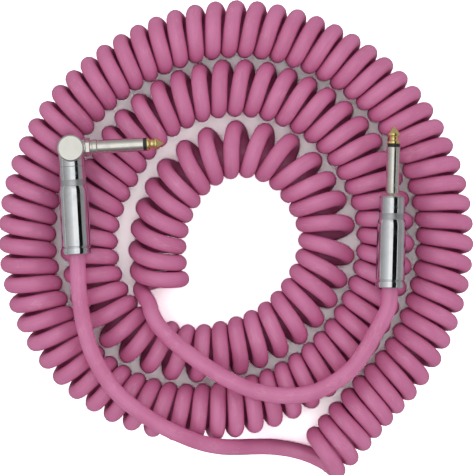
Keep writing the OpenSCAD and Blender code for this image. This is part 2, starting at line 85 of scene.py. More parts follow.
# The ways that the two leads take from the curls to the plugs, in millimetres.
straight_route = [[-40.9, -31.6, 24.6], [-39.9, -35, 27.6], [-38, -39, 29.6], [-35.4, -42.6, 30.6],
                  [-32, -46.2, 31.2], [-26.8, -50.9, 31.2], [-19.5, -56.6, 31.2], [-11.5, -62, 31.2],
                  [-2, -67.4, 31.2], [9, -71.7, 31.2], [21, -73.8, 31.2], [33, -73, 31.2],
                  [43, -69, 31.2], [52.8, -62, 31.2], [59.7, -53, 31.6], [65, -43.6, 32.9],
                  [68.3, -37.9, 33.6], [70.3, -33.4, 34.1]]
angle_route = [[42.2, -106.4, 4.7], [39.3, -104.8, 3.9], [35.3, -102.9, 3.8], [30, -101.1, 3.8],
               [23.4, -99.6, 3.8], [16, -98.7, 5], [8, -98.5, 8.5], [0, -98.5, 14], [-8, -98, 20],
               [-17, -96, 25], [-27, -92, 29], [-36, -87.5, 31.2], [-46, -81, 31.2],
               [-55, -73.5, 31.2], [-62, -64.5, 31.2], [-68, -53, 31.2], [-71.8, -39, 31.8],
               [-73.7, -25, 33.4]]
nudge = 0.02


def unit(v):
    return v / np.linalg.norm(v)


def spiral_point(u):
    """A place on the spiral's middle line, u counting steps of 30 degrees."""
    i = int(math.floor(u))
    a, b, c, d = spiral_radii[i - 1:i + 3]
    t = u - i
    radius = (b + t * (c - a) / 2 + t * t * (2 * a - 5 * b + 4 * c - d) / 2
              + t ** 3 * (3 * b - a - 3 * c + d) / 2)
    angle = math.radians(-90 - 30 * u)
    return radius * np.array([math.cos(angle), math.sin(angle), 0])


def spiral_outward(u):
    """The level direction square to the spiral there, away from its centre."""
    ahead = spiral_point(u + nudge) - spiral_point(u - nudge)
    return unit(np.array([-ahead[1], ahead[0], 0]))


# The curls sit evenly along the inside of each bend, so the shorter of the spiral's edges counts.
# Both are measured in cuts of 2.5 degrees.
spiral_from, spiral_to, cuts_per_step = 1.2, 35.81, 12
steps = np.arange(spiral_from, spiral_to, 1 / cuts_per_step)
middle = np.array([spiral_point(u) for u in steps])
outward = np.array([spiral_outward(u) for u in steps])
edges = [np.linalg.norm(np.diff(middle + side * curl_r * outward, axis=0), axis=1)
         for side in (-1, 1)]
run = np.concatenate([[0], np.cumsum(np.minimum(*edges))])
first_run, last_run = np.interp([first_top, last_top], steps, run)
turns = 0.5 + (curl_count - 1) * (run - first_run) / (last_run - first_run)
# The first curls are tucked along the spiral, to leave room for the lead that climbs out of them.
tuck_most, tuck_curls, tuck_fade, tuck_peak = 0.3, 8, 1.2, 0.9


def curl_point(t):
    """The cord's middle at turn t, counted in curls from the first lowest point."""
    fade = max(0, 1 - t / tuck_curls) ** tuck_fade
    tuck = tuck_most * fade * (1 + math.cos(2 * math.pi * (t - tuck_peak)))
    u = np.interp(t + tuck, turns, steps)
    angle = math.radians(-90) - 2 * math.pi * t
    return (spiral_point(u) + (curl_r + sag) * math.cos(angle) * spiral_outward(u)
            + np.array([0, 0, coil_height + curl_r * math.sin(angle)]))


def curl_tangent(t):
    return unit(curl_point(t + nudge) - curl_point(t - nudge))


def smooth_route(points, step):
    """A smooth curve through the points, cut into even steps."""
    p = np.array(points, float)
    p = np.vstack([2 * p[0] - p[1], p, 2 * p[-1] - p[-2]])
    fine = []
    for a, b, c, d in zip(p, p[1:], p[2:], p[3:]):
        for t in np.linspace(0, 1, 24, endpoint=False):
            fine.append(0.5 * (2 * b + (c - a) * t + (2 * a - 5 * b + 4 * c - d) * t * t
                               + (3 * b - a - 3 * c + d) * t ** 3))
    fine = np.array(fine + [p[-2]])
    length = np.concatenate([[0], np.cumsum(np.linalg.norm(np.diff(fine, axis=0), axis=1))])
    at = np.linspace(0, length[-1], max(2, int(round(length[-1] / step)) + 1))
    return np.array([[np.interp(s, length, fine[:, k]) for k in range(3)] for s in at])


# The straight lead leaves the first curl through a bend. The other lead takes the last curl over
# three rings before its lowest point, and sweeps away from it.
rings_per_curl = 36
rings_left_out = 3
inner_turn_start = -0.19
inner_out = unit(np.array([0.3, -0.42, 0.86]))
bend_radius = 10 * MM
lead_step = 1.6 * MM
inner_start = curl_point(inner_turn_start)
inner_back = -curl_tangent(inner_turn_start)
inner_angle = math.acos(float(inner_back @ inner_out))
inner_across = unit(inner_out - (inner_out @ inner_back) * inner_back)
bend = [inner_start + bend_radius * (math.sin(a) * inner_back + (1 - math.cos(a)) * inner_across)
        for a in np.linspace(inner_angle, 0, 8)]
inner_end = bend[0] + cord_d * inner_out
curls = [curl_point(i / rings_per_curl)
         for i in range(math.ceil(inner_turn_start * rings_per_curl) + 1,
                        curl_count * rings_per_curl - rings_left_out)]


def along(rear, heading, distance):
    """A point on a plug's axis, so many metres ahead of its shell's rear face."""
    return rear + distance * np.array([math.cos(heading), math.sin(heading), 0])


# Behind each shell the cord runs straight on, so that the shell can be screwed back over it. The
# jacket ends inside the shell.
jacket_end = 14
straight_end = [along(straight_rear, straight_heading, d * MM)
                for d in (jacket_end, 7, 0, -3.5, -7)]
straight_lead = smooth_route(straight_end + [np.array(p) * MM for p in straight_route[::-1]]
                             + [inner_end, bend[0]], lead_step)
angle_end = [along(angle_rear, angle_heading, d * MM) for d in (-5.8, 0, 7, jacket_end)]
angle_lead = smooth_route([curls[-1]] + [np.array(p) * MM for p in angle_route] + angle_end,
                          lead_step)
cord_path = np.vstack([straight_lead, bend[1:], curls, angle_lead[1:]])


def tube_piece(name, path, radius, sides):
    """A closed tube along the path, turned as little as possible from ring to ring. Its own map
    gives the metres along it and the share of the way round it."""
    ahead = np.gradient(path, axis=0)
    ahead /= np.linalg.norm(ahead, axis=1)[:, None]
    side = unit(np.cross(ahead[0], [0, 0, 1]))
    rings = []
    angles = np.linspace(0, 2 * math.pi, sides, endpoint=False)
    for p, a in zip(path, ahead):
        side = unit(side - (side @ a) * a)
        other = np.cross(a, side)
        rings.append(p + radius * (np.cos(angles)[:, None] * side
                                   + np.sin(angles)[:, None] * other))
    length = np.concatenate([[0], np.cumsum(np.linalg.norm(np.diff(path, axis=0), axis=1))])
    points = np.vstack(rings + [path[:1], path[-1:]])
    last = (len(path) - 1) * sides
    faces, places = [], []
    for i in range(len(path) - 1):
        for k in range(sides):
            n = (k + 1) % sides
            faces.append((i * sides + k, i * sides + n, (i + 1) * sides + n, (i + 1) * sides + k))
            places += [(length[i], k / sides), (length[i], (k + 1) / sides),
                       (length[i + 1], (k + 1) / sides), (length[i + 1], k / sides)]
    for k in range(sides):
        n = (k + 1) % sides
        faces.append((n, k, last + sides))
        faces.append((last + k, last + n, last + sides + 1))
        places += [(0, k / sides)] * 3 + [(length[-1], k / sides)] * 3
    mesh = bpy.data.meshes.new(name)
    mesh.from_pydata([tuple(p) for p in points], [], faces)
    mesh.uv_layers.new(name="along").data.foreach_set("uv", np.array(places, np.float32).ravel())
    mesh.polygons.foreach_set("use_smooth", [True] * len(mesh.polygons))
    mesh.update()
    piece = bpy.data.objects.new(name, mesh)
    bpy.context.scene.collection.objects.link(piece)
    return piece


class Wire:
    """A lead from one output of a material's node. Python's own signs on it add Math nodes."""

    def __init__(self, tree, end=None):
        self.tree = tree
        self.end = end

    def node(self, kind, inputs, output=0, **settings):
        """Any node: its settings go in first, then the values or leads of its sockets."""
        node = self.tree.nodes.new(kind)
        for name, value in settings.items():
            setattr(node, name, value)
        for name, value in inputs.items():
            if isinstance(value, Wire):
                self.tree.links.new(value.end, node.inputs[name])
            else:
                node.inputs[name].default_value = value
        return Wire(self.tree, node.outputs[output])

    def math(self, operation, *values):
        return self.node("ShaderNodeMath", dict(enumerate(values)), operation=operation)

    def __add__(self, other):
        return self.math("ADD", self, other)

    def __radd__(self, other):
        return self.math("ADD", other, self)

    def __sub__(self, other):
        return self.math("SUBTRACT", self, other)

    def __rsub__(self, other):
        return self.math("SUBTRACT", other, self)

    def __mul__(self, other):
        return self.math("MULTIPLY", self, other)

    def __rmul__(self, other):
        return self.math("MULTIPLY", other, self)

    def __pow__(self, other):
        return self.math("POWER", self, other)

    def between(self, low, high):
        """0 at low and under, 1 at high and over, and smooth between them."""
        return self.node("ShaderNodeMapRange", {"Value": self, "From Min": low, "From Max": high},
                         interpolation_type="SMOOTHSTEP")

    def noise(self, scale, detail=2.0, stretch=(1, 1, 1)):
        """Soft patches over this place, finer for a larger scale."""
        place = self.node("ShaderNodeMapping", {"Vector": self, "Scale": stretch})
        return self.node("ShaderNodeTexNoise", {"Vector": place, "Scale": scale, "Detail": detail})

    def mix(self, a, b):
        """Colour a where this mask is 0 and colour b where it is 1. They go into the Mix node's
        sockets 6 and 7, which are its two colours."""
        return self.node("ShaderNodeMix", {0: self, 6: a, 7: b}, output=2, data_type="RGBA")

    def bump(self, depth, strength=1.0):
        """A surface that rises by the depth, in metres, where this height is 1."""
        return self.node("ShaderNodeBump", {"Height": self, "Distance": depth,
                                            "Strength": strength})


def new_finish(name, metal=0.0):
    """A material with its shader, and a wire to start its nodes from."""
    finish = bpy.data.materials.new(name)
    finish.use_nodes = True
    shader = finish.node_tree.nodes["Principled BSDF"]
    shader.inputs["Metallic"].default_value = metal
    return finish, shader, Wire(finish.node_tree)


def lead_to(wire, shader, socket):
    wire.tree.links.new(wire.end, shader.inputs[socket])


def split(place):
    """The three numbers of a place."""
    numbers = place.node("ShaderNodeSeparateXYZ", {0: place}).end.node.outputs
    return [Wire(place.tree, number) for number in numbers]


jacket, jacket_shader, start = new_finish("jacket vinyl")
metres_along, share_round = split(start.node("ShaderNodeUVMap", {}, uv_map="along"))[:2]
way_round = share_round * (2 * math.pi)
# The skin's own space, in millimetres: along the cord, and round it on its radius.
skin_r = cord_d / 2 / MM
skin = start.node("ShaderNodeCombineXYZ", {0: metres_along * 1000,
                                           1: skin_r * start.math("COSINE", way_round),
                                           2: skin_r * start.math("SINE", way_round)})
patches = skin.noise(0.06, 3)
streaks = skin.noise(0.9, 2, (0.04, 1, 1))
grain = skin.noise(5, 3)
specks = skin.noise(2.6, 1).between(0.74, 0.80)
scuffs = (skin.noise(0.16, 4) * skin.noise(1.7, 3, (0.25, 1, 1))).between(0.30, 0.42)
deep_pink, light_pink = (0.625, 0.158, 0.342, 1), (0.685, 0.196, 0.398, 1)
streak_pink, scuff_pink = (0.60, 0.140, 0.325, 1), (0.78, 0.36, 0.52, 1)
dust = (0.82, 0.56, 0.64, 1)
pink = patches.between(0.35, 0.65).mix(deep_pink, light_pink)
pink = (streaks.between(0.35, 0.75) * 0.35).mix(pink, streak_pink)
pink = (scuffs * 0.30).mix(pink, scuff_pink)
pink = (specks * 0.35).mix(pink, dust)
lead_to(pink, jacket_shader, "Base Color")
jacket_shader.inputs["Specular IOR Level"].default_value = 0.8
lead_to(0.33 + 0.10 * patches + 0.10 * scuffs + 0.05 * grain, jacket_shader, "Roughness")
height = grain * 0.5 + streaks * 0.8 + specks * 0.3
lead_to(height.bump(0.00004, 0.7), jacket_shader, "Normal")

cord_sides = 16
cord = tube_piece("cord", cord_path, cord_d / 2, cord_sides)
cord.data.materials.append(jacket)
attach(cord, "cable")
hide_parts("curly_cord", "straight_lead", "angle_lead")

# ---- The wires inside each plug ----
# Behind the jacket's cut end, the insulated core goes on to the tip's lug, and the copper screen is
# drawn aside, twisted into a pigtail and soldered along the ground clamp's strap.
straight_axis = (tuple(straight_rear), (-math.pi / 2, 0, straight_heading - math.pi / 2))
angle_axis = (tuple(angle_rear), (-math.pi / 2, 0, angle_heading - math.pi / 2))


def on_axis(start, axis):
    """Millimetres on a piece's own axis: Z runs along it from the axis's point."""
    spot, turn = axis
    place = start.node("ShaderNodeTexCoord", {}, output="Object")
    return place.node("ShaderNodeMapping", {"Vector": place, "Location": spot, "Rotation": turn,
                                            "Scale": (MM, MM, MM)}, vector_type="TEXTURE")


def dress(piece, finish):
    """The finish takes the place of whatever the piece has."""
    piece.data.materials.clear()
    piece.data.materials.append(finish)


def dress_node(name, finish):
    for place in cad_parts[name].material_slots:
        place.material = finish


for name, axis, stripped in [("straight_core", straight_axis, 25.6),
                             ("angle_core", angle_axis, 44.0)]:
    finish, shader, start = new_finish(name.replace("_", " "))
    place = on_axis(start, axis)
    bare = split(place)[2].between(stripped - 0.02, stripped + 0.02)
    blotches = place.noise(0.5, 3)
    drawn = place.noise(4, 2, (1, 1, 0.05))
    black = blotches.mix((0.020, 0.020, 0.022, 1), (0.050, 0.048, 0.050, 1))
    copper = blotches.mix((0.80, 0.36, 0.20, 1), (0.62, 0.30, 0.16, 1))
    lead_to(bare.mix(black, copper), shader, "Base Color")
    lead_to(bare, shader, "Metallic")
    lead_to(0.42 + 0.12 * blotches - 0.14 * bare, shader, "Roughness")
    lead_to((drawn * 0.7 + blotches * 0.3).bump(0.00003), shader, "Normal")
    dress_node(name, finish)

# Six strands twist once round a seventh.
braid_l, braid_side = 6, 3.05
strands_round, strand_r, strand_ring = 6, 0.26, 0.53


def put_in_place(piece, axis, smooth=35):
    """Set a piece made at the scene's middle on its axis, its own origin staying at the middle."""
    bpy.context.view_layer.objects.active = piece
    piece.location, piece.rotation_euler = axis
    bpy.ops.object.transform_apply(location=True, rotation=True, scale=True)
    bpy.ops.object.shade_smooth_by_angle(angle=math.radians(smooth))


def only(piece):
    """Select this piece and nothing else."""
    bpy.ops.object.select_all(action="DESELECT")
    piece.select_set(True)
    bpy.context.view_layer.objects.active = piece


def wound(profiles, name, pitch, rounds, steps=24):
    """Join the open rings and draw them round and along Z in a screw, then close their ends."""
    bpy.ops.object.select_all(action="DESELECT")
    for ring in profiles:
        ring.select_set(True)
    piece = profiles[0]
    bpy.context.view_layer.objects.active = piece
    if len(profiles) > 1:
        bpy.ops.object.join()
    bpy.ops.object.transform_apply(location=True, rotation=True, scale=True)
    piece.name = piece.data.name = name
    screw = piece.modifiers.new("screw", "SCREW")
    screw.axis = "Z"
    screw.angle = math.radians(360)
    screw.screw_offset = pitch * MM
    screw.iterations = rounds
    screw.steps = screw.render_steps = steps
    bpy.ops.object.modifier_apply(modifier=screw.name)
    bpy.ops.object.mode_set(mode="EDIT")
    bpy.ops.mesh.select_all(action="SELECT")
    bpy.ops.mesh.remove_doubles(threshold=1e-6)
    bpy.ops.mesh.fill_holes(sides=16)
    bpy.ops.mesh.normals_make_consistent(inside=False)
    bpy.ops.object.mode_set(mode="OBJECT")
    return piece


for name, axis in [("straight_braid", straight_axis), ("angle_braid", angle_axis)]:
    rings = []
    for k in range(strands_round + 1):
        turn = k * math.pi / 3
        reach = strand_ring if k < strands_round else 0
        bpy.ops.object.select_all(action="DESELECT")
        bpy.ops.mesh.primitive_circle_add(
            vertices=10, radius=strand_r * MM,
            location=(reach * math.cos(turn) * MM, reach * math.sin(turn) * MM, 0))
        rings.append(bpy.context.object)
    pigtail = wound(rings, name + "_pigtail", braid_l, 1, steps=20)
    pigtail.location = (0, braid_side * MM, jacket_end * MM)
    bpy.ops.object.transform_apply(location=True)
    put_in_place(pigtail, axis, 50)
    finish, shader, start = new_finish(name.replace("_", " "), metal=1.0)
    place = on_axis(start, axis)
    tinned = place.noise(0.7, 3).between(0.45, 0.6)
    lead_to(tinned.mix((0.86, 0.42, 0.24, 1), (0.70, 0.60, 0.52, 1)), shader, "Base Color")
    lead_to(0.28 + 0.2 * place.noise(3), shader, "Roughness")
    lead_to(place.noise(6, 2, (1, 1, 0.2)).bump(0.00002), shader, "Normal")
    dress(pigtail, finish)
    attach(pigtail, "cable")
    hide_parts(name)

# ---- The tip contacts ----
# Each tip is turned from brass in one piece with the long rod behind it, and gold plated. A
# socket's spring drops into its waist, and the rod carries the signal back through the sleeve.
rod_d = 2.4
tip_outline = [(0, 1.2), (0, 2.95), (0.1, 3.05), (1.0, 3.05), (1.12, 2.98), (1.25, 2.72),
               (1.45, 2.38), (1.7, 2.17), (2.0, 2.1), (2.7, 2.1), (3.0, 2.16), (3.25, 2.32),
               (3.5, 2.6), (3.75, 2.83), (4.05, 2.97), (4.4, 3.0), (4.7, 2.93), (5.0, 2.74),
               (5.5, 2.35), (6.1, 1.88), (6.7, 1.42), (7.2, 1.03), (7.6, 0.7), (7.9, 0.38),
               (8.05, 0.16), (8.1, 0)]
# Where the tips' rear faces lie on their axes, and how far ahead of its shell the can's middle is.
straight_tip_z, angle_tip_z = 67.3, 35.3
angle_shell_l, can_reach = 41.1, 8.4
can_z = angle_shell_l + can_reach
can_middle = along(angle_rear, angle_heading, can_z * MM)
can_axis = (tuple(can_middle), (0, 0, angle_heading - math.pi / 2))
finger_axis = (tuple(can_middle), (0, math.pi / 2, angle_heading - math.pi / 2))


def turned(name, outline, sides=96):
    """A piece turned on a lathe: a ring of edges drawn out from corner to corner of the outline,
    (height, radius) in millimetres. Long faces get holding rings close to their corners."""
    corners = [outline[0]]
    for a, b in zip(outline, outline[1:]):
        length = math.dist(a, b)
        if length > 0.9:
            for share in (0.3 / length, 1 - 0.3 / length):
                corners.append((a[0] + (b[0] - a[0]) * share, a[1] + (b[1] - a[1]) * share))
        corners.append(b)
    height, radius = corners[0]
    bpy.ops.object.select_all(action="DESELECT")
    bpy.ops.mesh.primitive_circle_add(vertices=sides, radius=radius * MM,
                                      location=(0, 0, height * MM))
    piece = bpy.context.object
    piece.name = piece.data.name = name
    bpy.ops.object.transform_apply(location=True)
    bpy.ops.object.mode_set(mode="EDIT")
    bpy.ops.mesh.select_all(action="SELECT")
    for next_height, next_radius in corners[1:]:
        bpy.ops.mesh.extrude_region_move(
            TRANSFORM_OT_translate={"value": (0, 0, (next_height - height) * MM)})
        grow = next_radius / radius
        bpy.ops.transform.resize(value=(grow, grow, 1), center_override=(0, 0, next_height * MM))
        height, radius = next_height, next_radius
    bpy.ops.mesh.select_all(action="SELECT")
    bpy.ops.mesh.remove_doubles(threshold=1e-7)
    bpy.ops.mesh.fill_holes(sides=0)
    bpy.ops.mesh.select_all(action="SELECT")
    bpy.ops.mesh.normals_make_consistent(inside=False)
    bpy.ops.object.mode_set(mode="OBJECT")
    return piece


def break_edges(piece, width, angle=32):
    """A small rounding on every sharp edge."""
    bevel = piece.modifiers.new("broken edges", "BEVEL")
    bevel.width = width * MM
    bevel.segments = 3
    bevel.limit_method = "ANGLE"
    bevel.angle_limit = math.radians(angle)
    only(piece)
    bpy.ops.object.modifier_apply(modifier=bevel.name)


def plated(name, axis, fresh, dulled, polish, drag, rings=0.5, band=None):
    """Plated, polished metal: fresh and dulled are its colours, polish its roughness, drag how
    much rougher its smears and scratches are, and rings the depth of the lathe's marks. A band
    between two heights on the axis is left satin, and painted darker there as painted shade."""
    finish, shader, start = new_finish(name, metal=1.0)
    place = on_axis(start, axis)
    smears = place.noise(0.13, 4).between(0.42, 0.72)
    film = place.noise(0.9, 3)
    lathe = place.noise(1, 3, (0.05, 0.05, 7))
    scratches = (place.noise(1, 3, (7, 7, 0.22)).between(0.64, 0.69)
                 * place.noise(0.35, 2).between(0.45, 0.60))
    spots = place.noise(2.8, 1).between(0.78, 0.83)
    colour = (smears * 0.7).mix(fresh, dulled)
    colour = (spots * 0.5).mix(colour, tuple(0.45 * c for c in dulled[:3]) + (1,))
    rough = polish + drag * (smears * 0.6 + scratches * 0.8 + film * 0.2) + 0.2 * spots
    if band:
        up = split(place)[2]
        satin = up.between(band[0], band[0] + 0.1) * (1 - up.between(band[1] - 0.1, band[1]))
        # The hollow band's metal is painted darker here: painted shade that stands in for the
        # hollow's darker reflection.
        painted_shade_grey = (0.30, 0.31, 0.33, 1)
        colour = (satin * 0.45).mix(colour, painted_shade_grey)
        rough = rough + satin * 0.36
    lead_to(colour, shader, "Base Color")
    lead_to(rough, shader, "Roughness")
    lead_to((lathe * rings + scratches * 0.3 + film * 0.15).bump(0.000008), shader, "Normal")
    return finish, shader, place


fresh_gold, dull_gold = (1.0, 0.82, 0.36, 1), (0.90, 0.70, 0.32, 1)
for name, axis, tip_z, rod_end in [("straight_tip", straight_axis, straight_tip_z, 31.8),
                                   ("angle_tip", finger_axis, angle_tip_z, 0.2)]:
    tip = turned(name + "_contact", [(rod_end, rod_d / 2 - 0.25), (rod_end + 0.25, rod_d / 2)]
                 + [(tip_z + z, r) for z, r in tip_outline])
    put_in_place(tip, axis, 50)
    gold, _, _ = plated(name.replace("_", " ") + " gold", axis, fresh_gold, dull_gold,
                        polish=0.14, drag=0.18, rings=0.8)
    dress(tip, gold)
    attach(tip, "cable")
    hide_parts(name)

# ---- The tip insulators ----
# Black nylon, moulded as one ring with a long lining that keeps the rod clear of the sleeve's bore.
# The ring shows as the black band behind the tip.
lining_bore, lining_r, ring_r, ring_l = 1.25, 2.15, 3.0, 1.5
for name, axis, tip_z, lining_end in [
        ("straight_tip_insulator", straight_axis, straight_tip_z, 34.3),
        ("angle_tip_insulator", finger_axis, angle_tip_z, 2.0)]:
    ring = turned(name + "_ring",
                  [(lining_end, lining_bore), (lining_end, lining_r), (tip_z - ring_l, lining_r),
                   (tip_z - ring_l, ring_r), (tip_z, ring_r), (tip_z, lining_bore),
                   (lining_end, lining_bore)])
    break_edges(ring, 0.08)
    put_in_place(ring, axis)
    finish, shader, start = new_finish(name.replace("_", " "))
    place = on_axis(start, axis)
    worn = place.noise(1.1, 3, (1, 1, 0.3)).between(0.45, 0.7)
    lead_to(worn.mix((0.012, 0.012, 0.013, 1), (0.045, 0.043, 0.042, 1)), shader, "Base Color")
    lead_to(0.34 + 0.2 * worn, shader, "Roughness")
    lead_to(place.noise(5, 3).bump(0.00002), shader, "Normal")
    dress(ring, finish)
    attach(ring, "cable")
    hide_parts(name)

# ---- The straight plug's sleeve contact ----
# One brass turning, nickel plated: the boss that the ground clamp is riveted on, the thread for
# the shell, the chamfered collar that the shell closes against, and the 6.35 mm finger.
thread_pitch, thread_root, thread_crest = 1.0, 4.5, 5.0
thread_depth = thread_crest - thread_root
finger_r, finger_bore = 3.175, 2.2
boss_r = 3.5
straight_shell_l = 42.3


def ridge(name, crest, depth, pitch, low, high, inward=False):
    """A thread's one long ridge, from low to high on the axis, its crest at this radius."""
    side = -1 if inward else 1
    bpy.ops.object.select_all(action="DESELECT")
    bpy.ops.mesh.primitive_circle_add(vertices=4, radius=depth * MM, rotation=(math.pi / 2, 0, 0),
                                      location=((crest - side * depth) * MM, 0, low * MM))
    ring = bpy.context.object
    bpy.ops.object.mode_set(mode="EDIT")
    bpy.ops.mesh.select_all(action="SELECT")
    bpy.ops.transform.resize(value=(1, 1, 0.46 * pitch / depth),
                             center_override=((crest - side * depth) * MM, 0, low * MM))
    bpy.ops.object.mode_set(mode="OBJECT")
    piece = wound([ring], name, pitch, int((high - low) / pitch), steps=48)
    bpy.ops.object.mode_set(mode="EDIT")
    bpy.ops.mesh.select_all(action="SELECT")
    bpy.ops.mesh.bisect(plane_co=(0, 0, (low + 0.02) * MM), plane_no=(0, 0, 1), use_fill=True,
                        clear_inner=True)
    bpy.ops.mesh.select_all(action="SELECT")
    bpy.ops.mesh.bisect(plane_co=(0, 0, (high - 0.02) * MM), plane_no=(0, 0, 1), use_fill=True,
                        clear_outer=True)
    bpy.ops.object.mode_set(mode="OBJECT")
    return piece


def joined(*pieces):
    only(pieces[0])
    for other in pieces[1:]:
        other.select_set(True)
    bpy.ops.object.join()
    return pieces[0]


sleeve = turned("straight_sleeve_contact",
                [(34.3, finger_bore), (34.3, boss_r), (36.3, boss_r), (36.3, 4.2),
                 (36.6, thread_root), (straight_shell_l, thread_root), (straight_shell_l, 6.1),
                 (42.6, 6.1), (44.2, 3.95), (44.2, finger_r), (65.6, finger_r), (65.8, 2.975),
                 (65.8, finger_bore), (34.3, finger_bore)])
break_edges(sleeve, 0.1)
sleeve = joined(sleeve, ridge("thread", thread_crest, thread_depth, thread_pitch, 36.6, 42.4))
put_in_place(sleeve, straight_axis)
warm_nickel, dull_nickel = (0.80, 0.78, 0.72, 1), (0.66, 0.64, 0.58, 1)
nickel, _, _ = plated("straight sleeve nickel", straight_axis, warm_nickel, dull_nickel,
                      polish=0.16, drag=0.22)
dress(sleeve, nickel)
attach(sleeve, "cable")
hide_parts("straight_sleeve")

# ---- The right-angle plug's sleeve contact and its lock nut ----
# The finger's thinner shank passes through the can's wall, and a saddle holds it inside. Outside,
# a nickel plated nut, a hexagon with a round collar, is drawn up against the can's seat.
shank_r, shank_way_r = 2.8, 2.85
finger_nickel, _, _ = plated("finger nickel", finger_axis, warm_nickel, dull_nickel,
                             polish=0.16, drag=0.22)
finger = turned("angle_sleeve_contact",
                [(2.0, finger_bore), (2.0, 3.3), (3.7, 3.3), (3.7, shank_r), (12.2, shank_r),
                 (12.2, finger_r), (33.6, finger_r), (33.8, 2.975), (33.8, finger_bore),
                 (2.0, finger_bore)])
break_edges(finger, 0.1)
put_in_place(finger, finger_axis)
dress(finger, finger_nickel)
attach(finger, "cable")
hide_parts("angle_sleeve")

hexagon = turned("angle_lock_nut_collars",
                 [(6.5, 3.3), (6.5, 4.15), (6.75, 4.388), (8.65, 4.388), (8.89, 4.15), (8.89, 3.3),
                  (6.5, 3.3)], sides=6)
break_edges(hexagon, 0.18, 20)
collar = turned("collar", [(8.85, shank_way_r), (8.85, 3.3), (9.8, 3.3), (9.8, 3.5),
                           (10.0, 3.65), (11.8, 3.65), (12.2, 3.35), (12.2, shank_way_r),
                           (8.85, shank_way_r)])
break_edges(collar, 0.08)
nut = joined(hexagon, collar)
put_in_place(nut, finger_axis)
dress(nut, finger_nickel)
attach(nut, "cable")
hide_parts("angle_lock_nut")

# ---- The right-angle head ----
# A chromed brass body: the round can that the finger and the cord meet in, the neck that reaches
# back from it, and behind the neck the thread for the shell and the boss for the ground clamp.
can_r, can_bore_r, neck_r, core_way_r = 6.3, 5.0, 6.1, 2.3


def cut(piece, tool, operation):
    """Cut the tool's shape out of the piece, or add it, and put the tool away."""
    boolean = piece.modifiers.new("cut", "BOOLEAN")
    boolean.operation = operation
    boolean.object = tool
    boolean.solver = "EXACT"
    only(piece)
    bpy.ops.object.modifier_apply(modifier=boolean.name)
    bpy.data.objects.remove(tool)


def rod(name, axis, low, high, radius, low_bevel=0.0):
    """A closed round bar on the axis."""
    bar = turned(name, [(low, radius - low_bevel), (low + low_bevel, radius), (high, radius)]
                 if low_bevel else [(low, radius), (high, radius)])
    put_in_place(bar, axis)
    return bar


can = turned("angle_head_body", [(-6.8, can_r - 0.6), (-6.55, can_r - 0.25), (-6.2, can_r),
                                 (6.1, can_r), (6.2, can_r - 0.1)])
put_in_place(can, can_axis)
cut(can, rod("neck", angle_axis, angle_shell_l, can_z, neck_r, 0.15), "UNION")
cut(can, rod("seat", finger_axis, 3.0, 6.5, 4.2), "UNION")
cut(can, rod("thread root", angle_axis, 35.1, 43.0, thread_root), "UNION")
cut(can, rod("boss", angle_axis, 33.1, 38.0, boss_r), "UNION")
cut(can, rod("bore", can_axis, -5.4, 8.0, can_bore_r), "DIFFERENCE")
cut(can, rod("core way", angle_axis, 31.0, can_z, core_way_r), "DIFFERENCE")
cut(can, rod("finger way", finger_axis, 1.0, 8.0, shank_way_r), "DIFFERENCE")
head_thread = ridge("thread", thread_crest, thread_depth, thread_pitch, 35.3, 41.2)
put_in_place(head_thread, angle_axis)
head = joined(can, head_thread)
put_in_place(head, ((0, 0, 0), (0, 0, 0)), 30)
bright_chrome, dull_chrome = (0.80, 0.82, 0.84, 1), (0.65, 0.67, 0.69, 1)
head_chrome, _, _ = plated("head chrome", can_axis, bright_chrome, dull_chrome,
                           polish=0.06, drag=0.16, rings=0.2)
dress(head, head_chrome)
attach(head, "cable")
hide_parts("angle_head")

# ---- Washers, lugs and ground clamps ----
# Fibre washers keep the tip's lug off the sleeve. The lugs and the clamps are stamped from thin
# nickel plated brass: the clamp's ring is riveted on the boss, and its claw is crimped on the
# jacket.
dark_fibre, light_fibre = (0.50, 0.36, 0.20, 1), (0.68, 0.53, 0.34, 1)
stain_brown = (0.36, 0.22, 0.11, 1)
for name, axis in [("straight_rear_washer", straight_axis), ("angle_rear_washer", finger_axis),
                   ("angle_cap_disc", can_axis)]:
    finish, shader, start = new_finish(name.replace("_", " "))
    place = on_axis(start, axis)
    fibres = place.noise(2.2, 4, (1, 3, 1))
    stains = place.noise(0.5, 2)
    board = fibres.mix(dark_fibre, light_fibre)
    board = (stains.between(0.5, 0.75) * 0.5).mix(board, stain_brown)
    lead_to(board, shader, "Base Color")
    lead_to(0.62 + 0.2 * fibres, shader, "Roughness")
    lead_to((fibres + stains * 0.5).bump(0.00004), shader, "Normal")
    dress_node(name, finish)

sheet_nickel, dull_sheet = (0.70, 0.68, 0.63, 1), (0.52, 0.49, 0.43, 1)
for name, axis in [("straight_tip_lug", straight_axis), ("straight_ground_clamp", straight_axis),
                   ("angle_tip_lug", finger_axis), ("angle_ground_clamp", angle_axis)]:
    stamped, _, _ = plated(name.replace("_", " "), axis, sheet_nickel, dull_sheet,
                           polish=0.24, drag=0.25, rings=0.0)
    dress_node(name, stamped)

# ---- The liners ----
# A tube of thin milky plastic lies loose inside each shell and keeps it clear of the solder joints.
for name, axis in [("straight_liner", straight_axis), ("angle_liner", angle_axis)]:
    finish, shader, start = new_finish(name.replace("_", " "))
    place = on_axis(start, axis)
    flow = place.noise(0.8, 3, (1, 1, 0.12))
    clouds = place.noise(0.3, 2)
    lead_to(clouds.mix((0.74, 0.72, 0.66, 1), (0.86, 0.85, 0.80, 1)), shader, "Base Color")
    lead_to(0.38 + 0.15 * flow, shader, "Roughness")
    lead_to((flow * 0.7 + clouds * 0.5).bump(0.00004), shader, "Normal")
    dress_node(name, finish)
